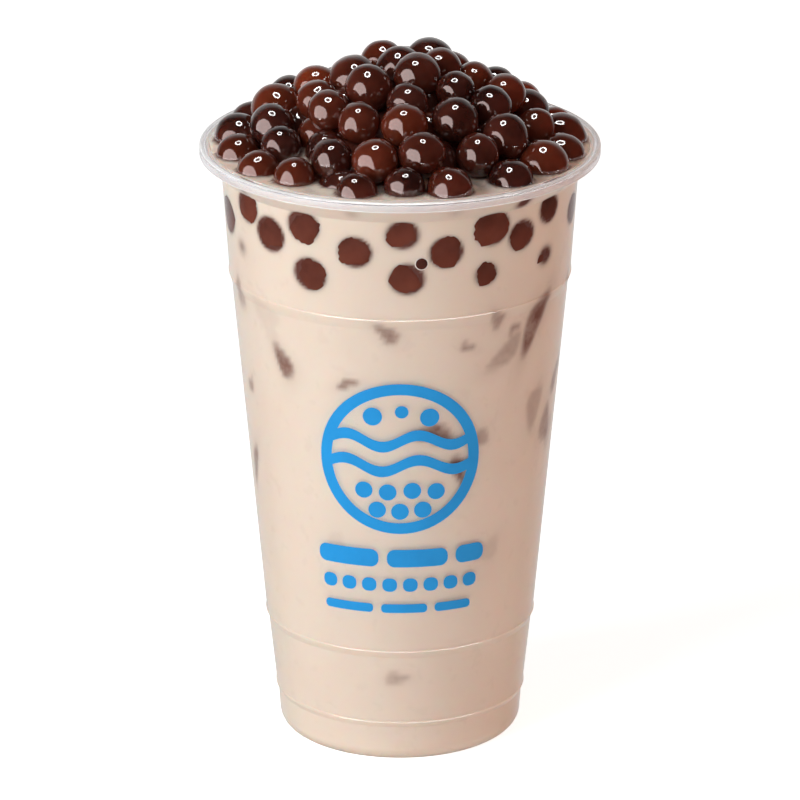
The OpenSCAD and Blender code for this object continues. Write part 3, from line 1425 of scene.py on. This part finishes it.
@dataclass(frozen=True)
class Lamp:
    """A soft lamp that faces the cup. Metres, degrees and watts.

    Its azimuth is 0 at the front and more to the right, its elevation is how high it stands,
    and it aims at a height above the floor. A soft edge makes it round; its dim middle and
    its edge are shares of its size.
    """

    name: str
    azimuth: float
    elevation: float
    distance: float
    size: tuple[float, float]
    power: float
    colour: Colour = (1.0, 1.0, 1.0)
    aim: float = 0.08
    hole: float = 0.0
    soft: float = 0.0
    hole_edge: float = 0.02
    hole_glow: float = 0.03

    def hang(self) -> Object:
        """Hangs the lamp.

        Returns:
            The lamp.
        """
        data = bpy.data.lights.new(self.name, "AREA")
        data.shape, data.size, data.size_y = "RECTANGLE", *self.size
        data.energy, data.color = self.power, self.colour
        if self.soft:
            self.make_round(data)
        lamp = in_scene(self.name, data)
        a, e = math.radians(self.azimuth), math.radians(self.elevation)
        way = Vector((math.sin(a) * math.cos(e), -math.cos(a) * math.cos(e), math.sin(e)))
        lamp.location = Vector((0, 0, self.aim)) + way * self.distance
        lamp.rotation_mode = "QUATERNION"
        lamp.rotation_quaternion = way.to_track_quat("Z", "Y")
        return lamp

    def make_round(self, data: AreaLight) -> None:
        """Shapes the light into a disc or a ring.

        Args:
            data: The lamp's data.
        """
        data.use_nodes = True
        wiring = Wiring(data.node_tree)
        place = wiring.add("NewGeometry").outputs["Parametric"]
        off = wiring.add("VectorMath", {0: place, 1: (0.5, 0.5, 0.0)}, operation="SUBTRACT")
        far = wiring.add("VectorMath", {0: off.outputs["Vector"]}, operation="LENGTH").outputs["Value"]
        inner = wiring.ranged(far, self.hole - self.hole_edge, self.hole, self.hole_glow, 1.0)
        outer = wiring.ranged(far, 0.5 - self.soft, 0.5, 1.0, 0.0)
        glow = wiring.add("Emission", Strength=wiring.maths("MULTIPLY", inner, outer))
        wiring.add("OutputLight", Surface=glow.outputs[0])


@dataclass
class Studio:
    """The floor, the light and the camera. The patch and the strip gleam on one piece only."""

    far: float = 1.5
    pitch_to_cup: float = 20.2
    pitch: float = 19.97
    aim_z: float = 0.0755
    lens: float = 281.0
    nearest: float = 0.05
    farthest: float = 20.0
    floor_r: float = 6.0
    floor_drop: float = 0.05 * MM

    key: Lamp = Lamp("key", -52, 28, 1.3, (0.8, 0.8), 12.4)
    fill: Lamp = Lamp("fill", 80, 15, 1.4, (0.9, 0.9), 4.8, (1.0, 0.45, 0.25))
    gleam: Lamp = Lamp("gleam", -25, 84, 0.9, (0.42, 0.42), 17.0, aim=0.15, hole=0.34, soft=0.02)
    patch: Lamp = Lamp("patch", -47, -4, 0.9, (1.5, 1.75), 50.0, (1.0, 0.8, 0.77), aim=0.15, soft=0.06)
    strip: Lamp = Lamp("strip", 5, 52, 1.0, (3.0, 0.5), 60.0, aim=0.1)

    around: float = 0.27
    behind: float = 0.7
    not_behind: float = 0.02
    behind_from: float = 0.5
    behind_to: float = 0.95
    white: Colour = (1.0, 0.995, 0.99)

    def camera(self) -> None:
        """Places the camera and makes it the scene's."""
        data = bpy.data.cameras.new("camera")
        data.lens, data.clip_start, data.clip_end = self.lens, self.nearest, self.farthest
        camera = in_scene("camera", data)
        rise = math.radians(self.pitch_to_cup)
        camera.location = (0, -self.far * math.cos(rise), self.aim_z + self.far * math.sin(rise))
        camera.rotation_euler = (math.radians(90 - self.pitch), 0, 0)
        bpy.context.scene.camera = camera

    def floor(self) -> None:
        """Lays the pale floor."""
        bm = bmesh.new()
        bmesh.ops.create_circle(bm, cap_ends=True, segments=96, radius=self.floor_r)
        data = bpy.data.meshes.new("floor")
        bm.to_mesh(data)
        bm.free()
        floor = in_scene("floor", data)
        floor.location.z = -self.floor_drop
        data.materials.append(PALE_FLOOR.material())
        floor.visible_glossy = False

    def only_on(self, lamp: Object, piece: Object) -> None:
        """Lets a lamp gleam on one piece only.

        Args:
            lamp: The lamp.
            piece: The piece.
        """
        group = bpy.data.collections.new(lamp.name + "_on")
        group.objects.link(piece)
        lamp.light_linking.receiver_collection = group
        lamp.light_linking.blocker_collection = group

    def light(self, cup: Object, wet: Object) -> None:
        """Lights the set: a soft key from the left, a warm fill, and lamps that only gleam.

        Args:
            cup: The cup, which alone shows the strip that lights up its edges.
            wet: The wet pearls, which alone show the big low lamp on their left.
        """
        for lamp in (self.key.hang(), self.fill.hang()):
            lamp.visible_glossy = False
        gleam, patch, strip = self.gleam.hang(), self.patch.hang(), self.strip.hang()
        self.only_on(patch, wet)
        self.only_on(strip, cup)
        for lamp in (gleam, patch, strip):
            lamp.visible_diffuse = False
            lamp.visible_transmission = False

    def world(self) -> None:
        """Surrounds the set with white that gleams only from behind."""
        world = bpy.data.worlds.new("studio")
        bpy.context.scene.world = world
        world.use_nodes = True
        wiring = Wiring(world.node_tree)
        way = wiring.add("SeparateXYZ", {0: wiring.add("TexCoord").outputs["Generated"]})
        y = way.outputs["Y"]
        behind = wiring.ranged(y, self.behind_from, self.behind_to, self.not_behind, self.behind)
        path = wiring.add("LightPath").outputs
        lit = wiring.add("Mix", {0: path["Is Glossy Ray"], 2: self.around, 3: behind}, data_type="FLOAT")
        look = wiring.maths("MAXIMUM", path["Is Camera Ray"], path["Is Transmission Ray"])
        seen = wiring.add("Mix", {0: look, 2: lit.outputs[0], 3: 1.0}, data_type="FLOAT")
        background = wiring.add("Background", Color=self.white, Strength=seen.outputs[0])
        wiring.add("OutputWorld", Surface=background.outputs[0])

    def build(self, cup: Object, wet: Object) -> None:
        """Builds the whole set.

        Args:
            cup: The cup.
            wet: Its wet pearls.
        """
        self.camera()
        self.floor()
        self.light(cup, wet)
        self.world()
        bpy.context.scene.view_settings.view_transform = "Standard"


# ---- Putting it together ----


CLEAR_CUP = ClearPlastic(
    "clear_cup", (0.985, 0.985, 0.99), (0.97, 0.972, 0.98), low=0.02, high=0.06,
    patch_scale=40.0, grain_scale=260.0,
)
HAZY_RIM = ClearPlastic(
    "hazy_rim", (0.93, 0.92, 0.94), (0.9, 0.885, 0.92), low=0.08, high=0.15,
    patch_scale=90.0, grain_scale=400.0, clearness=0.76,
)
# A whitish finish painted on the rim's edges as highlights.
RIM_HIGHLIGHT = ClearPlastic(
    "rim_highlight", (1.0, 1.0, 1.0), (0.97, 0.97, 0.98), low=0.1, high=0.18,
    patch_scale=90.0, grain_scale=400.0, clearness=0.15,
)
TEA = Milky(
    "milk_tea", (0.86, 0.74, 0.63), (0.84, 0.71, 0.6), low=0.25, high=0.4,
    patch_scale=45.0, grain_scale=300.0,
)
TAPIOCA = Tapioca(
    "tapioca", (0.03, 0.008, 0.0065), (0.1, 0.025, 0.018), low=0.03, high=0.08,
    patch_scale=120.0, grain_scale=600.0, relief=0.006 * MM,
)
SOAKED_TAPIOCA = Tapioca(
    "soaked_tapioca", (0.06, 0.02, 0.015), (0.12, 0.037, 0.026), low=0.35, high=0.5,
    patch_scale=150.0, grain_scale=500.0, amber=(0.36, 0.1, 0.06), clearness=0.0, shine=0.0, coat=0.0,
)
# Pale finish painted on the air bubble's ring as its highlight.
BUBBLE_HIGHLIGHT = Finish(
    "bubble_highlight", (0.95, 0.86, 0.8), (0.9, 0.8, 0.74), low=0.2, high=0.35,
    patch_scale=200.0, grain_scale=900.0,
)
BLUE_INK = Finish(
    "blue_ink", (0.008, 0.36, 0.86), (0.008, 0.33, 0.8), low=0.4, high=0.55,
    patch_scale=120.0, grain_scale=900.0,
)
PALE_FLOOR = PaleFloor(
    "pale_floor", (0.9, 0.9, 0.9), (0.88, 0.88, 0.88), low=0.6, high=0.8,
    patch_scale=3.0, grain_scale=40.0,
)


def main() -> None:
    """Builds every piece in order and reports it."""
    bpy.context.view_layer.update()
    cup, heap, row, drink = Cup(), PearlHeap(), SunkPearls(), MilkTea()
    shell = cup.build(CLEAR_CUP.material(), HAZY_RIM.material(), RIM_HIGHLIGHT.material())
    heaped = heap.pearls(cup)
    sunk = row.pearls(cup, heap.level * MM)
    wet = heap.build(heaped, TAPIOCA.material())
    dark = SOAKED_TAPIOCA.material()
    row.build(sunk, cup, dark)
    # The bubble's dark middle, painted shade, takes the soaked tapioca finish.
    AirBubble().build(cup, dark, BUBBLE_HIGHLIGHT.material())
    drink.build(cup, heap, heaped, sunk, TEA.material())
    Motif().build(cup, BLUE_INK.material())
    Studio().build(shell, wet)


if __name__ == "__main__":
    main()
